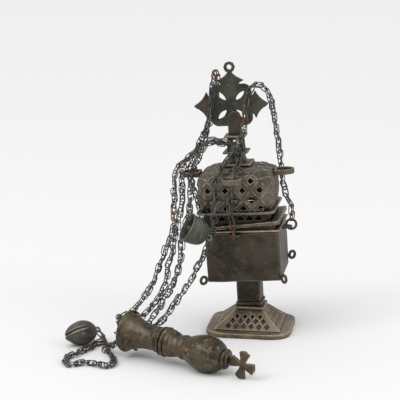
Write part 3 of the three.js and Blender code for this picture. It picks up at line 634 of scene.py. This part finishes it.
def add_ties():
    """The short links that hold each bell's crown loop to its chain."""
    dice = random.Random(TIE_SEED)
    for name, route in TIES.items():
        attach(chain_piece(name, centreline(route), dice), "root")


add_chains()
add_ties()


# ---- worn metal pieces -------------------------------------------------------------------------

# Each piece's voxel size, and the depth and width of its dents.
FOOT_PIECES = {
    "foot_plate": (0.9, 0.35, 14),
    "foot_pyramid": (0.65, 0.25, 7),
    "stem_collar": (0.6, 0.2, 6),
}
CENSER_PIECES = {
    "stem_bead": (0.6, 0.2, 6),
    "stem": (0.8, 0.25, 9),
    "bowl": (0.9, 0.5, 20),
    "bowl_rim": (0.5, 0.25, 10),
    "coal_pan": (0.75, 0.3, 9),
}
LID_PIECES = {
    "lid_skirt": (0.65, 0.2, 6),
    "lid_flange": (0.6, 0.35, 9),
    "lid_dome": (0.6, 0.35, 8),
    "tower_plate": (0.6, 0.25, 7),
    "tower_neck": (0.6, 0.2, 6),
    "tower_flange_lower": (0.4, 0.2, 5),
    "tower_lantern": (0.4, 0.2, 5),
    "tower_flange_upper": (0.4, 0.2, 5),
    "cross_socket": (0.4, 0.15, 6),
    "cross": (0.5, 0.2, 7),
}
BOWL_LUG = (0.35, 0.1, 4)
LUG_RING = (0.25, 0.12, 3)
LID_GUIDE = (0.45, 0.25, 6)
BOWL_EYE = (0.3, 0.3, 4)
HANDLE_LUG = (0.25, 0.15, 2)
FINIAL_CROSS = (0.35, 0.3, 4)
DENT_SEED_STEP = 3.7

# The skirt under the lid's flange takes the dark metal: soot and painted shade.
METAL_OF = {"lid_skirt": SOOTY_SHADED_METAL}
METALS = {
    "bowl_bronze": BOWL_METAL,
    "lid_brass": LID_METAL,
    "foot_brass": FOOT_METAL,
    "cross_bronze": CROSS_METAL,
    "handle_bronze": HANDLE_METAL,
    "bell_bronze": BELL_METAL,
    "rusty_iron": RUST_METAL,
    "chain_iron": CHAIN_METAL,
}

# The straps follow the dome's lattice of openings: half the pitch of its diamonds across and
# up, the height of its middle row, where wall turns into roof, and how far the tower reaches.
LATTICE_ACROSS = 8.5
LATTICE_UP = 9.2
LATTICE_MIDDLE = 148.4
ROOF_EDGE = 34.5
TOWER_CLEARANCE = 16.5
STRAP_HALF = 2.4
STRAP_HEIGHT = 0.9
RIDGE_HALF = 2.4
RIDGE_HEIGHT = 0.9
RING_SWELL = 0.3


def bump_across(distance, half):
    """1 on a strap's middle line, falling smoothly to 0 at half its width."""
    share = np.clip(1 - distance / half, 0, 1)
    return share * share * (3 - 2 * share)


def strapwork(spots, normals):
    """Raised diagonal straps on the dome's walls and up over its roof, between the openings."""
    x, y, z = spots.T
    faces_x = np.abs(x) > np.abs(y)
    out = np.maximum(np.abs(x), np.abs(y))
    climb = z + np.clip(ROOF_EDGE - out, 0, None)
    across = np.where(faces_x, y, x) / LATTICE_ACROSS
    up = (climb - LATTICE_MIDDLE) / LATTICE_UP
    strap_pitch = 2 / math.hypot(1 / LATTICE_ACROSS, 1 / LATTICE_UP)
    height = np.zeros(len(spots))
    for line in ((across + up) / 2, (across - up) / 2):
        distance = np.abs(line - np.round(line)) * strap_pitch
        height = np.maximum(height, bump_across(distance, STRAP_HALF))
    clear_of_tower = np.clip((out - TOWER_CLEARANCE) / 2, 0, 1)
    return height * clear_of_tower * STRAP_HEIGHT


def corner_ridges(spots, _):
    """Raised ridges down the four corners of the foot's pyramid."""
    off_corner = np.abs(np.abs(spots[:, 0]) - np.abs(spots[:, 1])) / math.sqrt(2)
    return bump_across(off_corner, RIDGE_HALF) * RIDGE_HEIGHT


def thicker(spots, _):
    """Hammered iron swells a little beyond the plain ring."""
    return np.full(len(spots), RING_SWELL)


# How each piece's surface is raised beyond its CAD shape.
RELIEFS = {"lid_dome": strapwork, "foot_pyramid": corner_ridges}
RELIEFS |= {f"lug_ring_{side}": thicker for side in SIDES}


def add_worn(node, place, wear, seed):
    piece = worn_copy(node, place, *wear, seed)
    if node in RELIEFS:
        pushed(piece, place, RELIEFS[node])
    finished(piece, node, METAL_OF.get(node, METALS[SLOT_OF[node]]))


def add_worn_pieces():
    seed = 1.0
    for place, pieces in ((GROUND, FOOT_PIECES), (CENSER, CENSER_PIECES), (LID, LID_PIECES)):
        for node, wear in pieces.items():
            add_worn(node, place, wear, seed)
            seed += DENT_SEED_STEP
    for side in SIDES:
        add_worn(f"bowl_lug_{side}", CENSER, BOWL_LUG, seed)
        add_worn(f"lug_ring_{side}", CENSER, LUG_RING, seed)
        add_worn(f"lid_guide_{side}", LID, LID_GUIDE, seed + 1)
        seed += DENT_SEED_STEP
    for corner in CORNERS:
        add_worn(f"bowl_eye_{corner}", CENSER, BOWL_EYE, seed)
        seed += DENT_SEED_STEP
    for node in ("handle_lug_front", "handle_lug_lower"):
        add_worn(node, HANDLE, HANDLE_LUG, seed)
    add_worn("finial_cross", HANDLE, FINIAL_CROSS, seed)


add_worn_pieces()


# ---- handle and bells --------------------------------------------------------------------------

# Profiles of (radius, height) from the mouth to the button; a groove is (height, depth).
HANDLE_PROFILES = {
    "handle_cap": [
        (17.6, 0.5), (18.7, 0), (19.9, 0.5), (20.3, 1.7), (19.9, 2.9), (18.8, 3.7), (17.7, 4.8),
        (16.6, 7.2), (15.2, 11), (13.9, 15.4), (12.7, 20.4), (11.9, 26), (11.5, 31), (11.5, 34.4),
        (12.1, 35.3), (12.3, 36.2), (11.9, 37.1), (11.3, 37.8), (11.3, 39.9), (0, 39.9), (0, 35.5),
        (5.5, 33), (8.6, 26), (10.8, 17), (13.2, 11), (15.2, 6.4), (16.7, 3), (17.6, 0.5),
    ],
    "handle_collar": [
        (0, 40.2), (11.6, 40.2), (12.6, 40.6), (13.7, 41.4), (14, 42.3), (13.5, 43.3), (12.3, 43.9),
        (12.2, 44.4), (13.3, 44.9), (14.3, 45.8), (14.3, 46.9), (13.3, 47.8), (12.1, 48.3),
        (11.8, 48.9), (0, 48.9),
    ],
    "handle_neck": [
        (0, 49.1), (11.7, 49.1), (12.8, 49.8), (13.2, 51.1), (12.8, 52.5), (11.9, 53.5),
        (11.8, 54.3), (12.3, 55.2), (11.9, 56.4), (11, 59), (10.6, 62), (10.6, 65.9), (0, 65.9),
    ],
    "handle_grip": [
        (0, 66.1), (10.8, 66.1), (11.6, 66.9), (11.6, 68), (11.1, 68.9), (12, 71.4), (13.5, 75.2),
        (15.2, 79.4), (16.7, 84), (17.5, 89), (17.4, 93), (16.7, 97.5), (15.1, 102), (13, 105.6),
        (10.9, 108), (9.3, 109.2), (8.6, 109.8), (0, 109.8),
    ],
    "handle_button": [
        (0, 110), (6.4, 110), (8.7, 110.5), (9.6, 111.6), (9.6, 112.9), (8.6, 113.9), (6.4, 114.4),
        (6, 114.9), (6.4, 115.4), (5.4, 116), (3.2, 116.4), (0, 116.5),
    ],
}
HANDLE_GROOVES = [(9, 0.2), (10.4, 0.2), (23, 0.15), (32.6, 0.2), (58, 0.2), (60, 0.15)]
HANDLE_GROOVES += [(72.6, 0.25), (74, 0.2), (80, 0.12), (99.5, 0.25), (101, 0.25), (106.4, 0.2)]
GROOVE_HALF = 0.45

# A bell's wall is drawn from its crown down the outside to the mouth and back up the inside.
BELL_WALL = [
    (0, 0), (2.6, -0.1), (5.4, -0.8), (8.4, -2.2), (10.6, -4.2), (12.1, -7), (13, -9.8),
    (13.5, -12.6), (13.7, -15.5), (13.7, -18.4), (14, -20.4), (14.5, -21.6), (14.5, -22.3),
    (13.7, -22.4), (13.1, -21.6), (12.6, -19.6), (12.4, -16), (12.1, -12.6), (11.3, -8.8),
    (9.8, -5.6), (7.6, -3.6), (4.6, -2.2), (0, -1.6),
]
BELL_GROOVES = [(-3.5 - 1.6 * step, 0.22) for step in range(11)]
BELL_CLAPPER = [
    (0, -2.7), (0.9, -2.9), (0.85, -9), (0.9, -16.4), (1.7, -17.4), (2.5, -18.8), (2.5, -20),
    (1.9, -21.2), (0, -21.7),
]
BUD_WALL = [
    (0, 0), (2.4, -0.1), (4.8, -0.8), (7.4, -2.6), (9.6, -5.6), (11.2, -9.4), (12, -14),
    (11.8, -18.4), (10.6, -22.6), (8.2, -26.8), (5.2, -30.2), (2.4, -32.6), (0, -33.2),
    (0, -30), (4, -28.2), (7.4, -24.6), (9.6, -20.6), (10.5, -15), (9.8, -10), (8, -6), (4, -2.6),
    (0, -1.8),
]
BUD_CLAPPER = [
    (0, -2.7), (0.9, -2.9), (0.85, -14), (0.9, -25), (1.7, -26), (2.5, -27.6), (2.3, -29),
    (1.4, -30), (0, -30.3),
]
LOOP_RADIUS = 2.4
LOOP_WIRE = 0.9
LOOP_LIFT = 0.2
TURNED_SEGMENTS = 88
# Edges that turn by more degrees than this stay sharp.
TURNED_EDGE = 50
# Depth and width of the dents.
TURNED_DENTS = (0.25, 9)
BUD_DENTS = (0.7, 9)


def grooved(profile, grooves):
    """The profile with shallow turned grooves; it isn't cut where it runs along the axis."""
    out = []
    for radius, height in profile:
        for at, depth in grooves:
            if radius > 2 * GROOVE_HALF:
                radius -= depth * math.exp(-(((height - at) / GROOVE_HALF) ** 2))
        out.append((radius, height))
    return out


def finely(profile, step=0.25):
    """Extra points along a profile, close enough to show a groove."""
    out = []
    for (r0, h0), (r1, h1) in zip(profile, profile[1:]):
        count = max(1, math.ceil(math.hypot(r1 - r0, h1 - h0) / step))
        out.extend((r0 + (r1 - r0) * i / count, h0 + (h1 - h0) * i / count) for i in range(count))
    return [*out, profile[-1]]


def add_turned(node, profile, place, material, grooves=(), extra=(), dents=TURNED_DENTS):
    """A piece turned from its profile, with any extra shapes that are joined to it."""
    outline = [(max(0.0, radius), height) for radius, height in rounded(profile)]
    body = lathe(grooved(finely(outline), grooves), TURNED_SEGMENTS)
    points, faces = together(body, *extra)
    piece = from_lists(f"{node}_turned", points, faces, place, TURNED_EDGE)
    hand_made(piece, *dents, seed=len(node), place=place)
    return finished(piece, node, material)


def add_handle():
    for node, profile in HANDLE_PROFILES.items():
        add_turned(node, profile, HANDLE, HANDLE_METAL, HANDLE_GROOVES)


def crown_loop():
    """The upright wire ring on top of a bell."""
    return ring(LOOP_RADIUS, LOOP_WIRE, shifted(0, 0, LOOP_RADIUS + LOOP_LIFT) @ turned(90, "X"))


# The lips' crease runs along x = 0 from LIPS_TOP down, and one lip swells about LIP_X beside it.
LIPS_TOP = -12
LIPS_FADE = 4
CREASE_DEPTH = 1.7
CREASE_HALF = 0.75
LIP_SWELL = 0.9
LIP_X = 1.8
LIP_HALF = 1.3


def bud_lips(spots, _):
    """A deep crease where the bud's lips meet, with one lip swelling over the other."""
    x, z = spots[:, 0], spots[:, 2]
    below = np.clip((LIPS_TOP - z) / LIPS_FADE, 0, 1)
    crease = -CREASE_DEPTH * np.exp(-((x / CREASE_HALF) ** 2))
    lip = LIP_SWELL * np.exp(-(((x - LIP_X) / LIP_HALF) ** 2))
    return (crease + lip) * below


def add_bells():
    loop = [crown_loop()]
    add_turned("hanging_bell_shell", BELL_WALL, HANGING_BELL, BELL_METAL, BELL_GROOVES, loop)
    add_turned("hanging_bell_clapper", BELL_CLAPPER, HANGING_BELL, RUST_METAL)
    bud = add_turned(
        "floor_bell_shell", BUD_WALL, FLOOR_BELL, BUD_METAL, extra=loop, dents=BUD_DENTS
    )
    pushed(bud, FLOOR_BELL, bud_lips)
    add_turned("floor_bell_clapper", BUD_CLAPPER, FLOOR_BELL, RUST_METAL)


add_handle()
add_bells()


# ---- floor and light ---------------------------------------------------------------------------

# Places and sizes of the floor and the lamps are in metres, their strengths in watts; the key
# is a sun, in watts per square metre.
CENSER_MIDDLE = (-0.05, 0, 0.1)
FLOOR_HALF = 6
FLOOR_GREY = 0.72
FLOOR_ROUGHNESS = 0.9
KEY_PLACE = (-0.6, -0.8, 1.9)
KEY_STRENGTH = 1.15
KEY_SPREAD = 48
SOFT_BOXES = {
    "left_box": ((-1.3, -1.1, 1.3), 0.7, 7),
    "right_box": ((1.5, -0.6, 1.1), 0.9, 5),
}
SKY_STRENGTH = 0.86


def add_floor():
    mesh = bpy.data.meshes.new("floor")
    corners = [(x * FLOOR_HALF, y * FLOOR_HALF, 0) for x, y in ((-1, -1), (1, -1), (1, 1), (-1, 1))]
    mesh.from_pydata(corners, [], [(0, 1, 2, 3)])
    floor = linked("floor", mesh)
    paint = bpy.data.materials.new("floor_paint")
    paint.use_nodes = True
    shader = paint.node_tree.nodes["Principled BSDF"]
    shader.inputs["Base Color"].default_value = (FLOOR_GREY, FLOOR_GREY, FLOOR_GREY, 1)
    shader.inputs["Roughness"].default_value = FLOOR_ROUGHNESS
    mesh.materials.append(paint)


def aimed(name, data, place):
    """A lamp standing at place and pointing at the censer."""
    lamp = bpy.data.objects.new(name, data)
    lamp.location = place
    lamp.rotation_euler = towards(place, CENSER_MIDDLE)
    bpy.context.scene.collection.objects.link(lamp)


def add_soft_box(name, place, size, strength):
    data = bpy.data.lights.new(name, "AREA")
    data.shape = "DISK"
    data.size = size
    data.energy = strength
    aimed(name, data, place)


def add_key():
    """The main light; it comes from far away, so the floor is lit evenly."""
    data = bpy.data.lights.new("key", "SUN")
    data.energy = KEY_STRENGTH
    data.angle = math.radians(KEY_SPREAD)
    aimed("key", data, KEY_PLACE)


def add_sky():
    world = bpy.data.worlds.new("world")
    world.use_nodes = True
    back = world.node_tree.nodes["Background"]
    back.inputs["Color"].default_value = (1, 1, 1, 1)
    back.inputs["Strength"].default_value = SKY_STRENGTH
    bpy.context.scene.world = world


def add_light():
    add_sky()
    add_key()
    for name, lamp in SOFT_BOXES.items():
        add_soft_box(name, *lamp)
    bpy.context.scene.view_settings.view_transform = "Standard"


add_floor()
add_light()
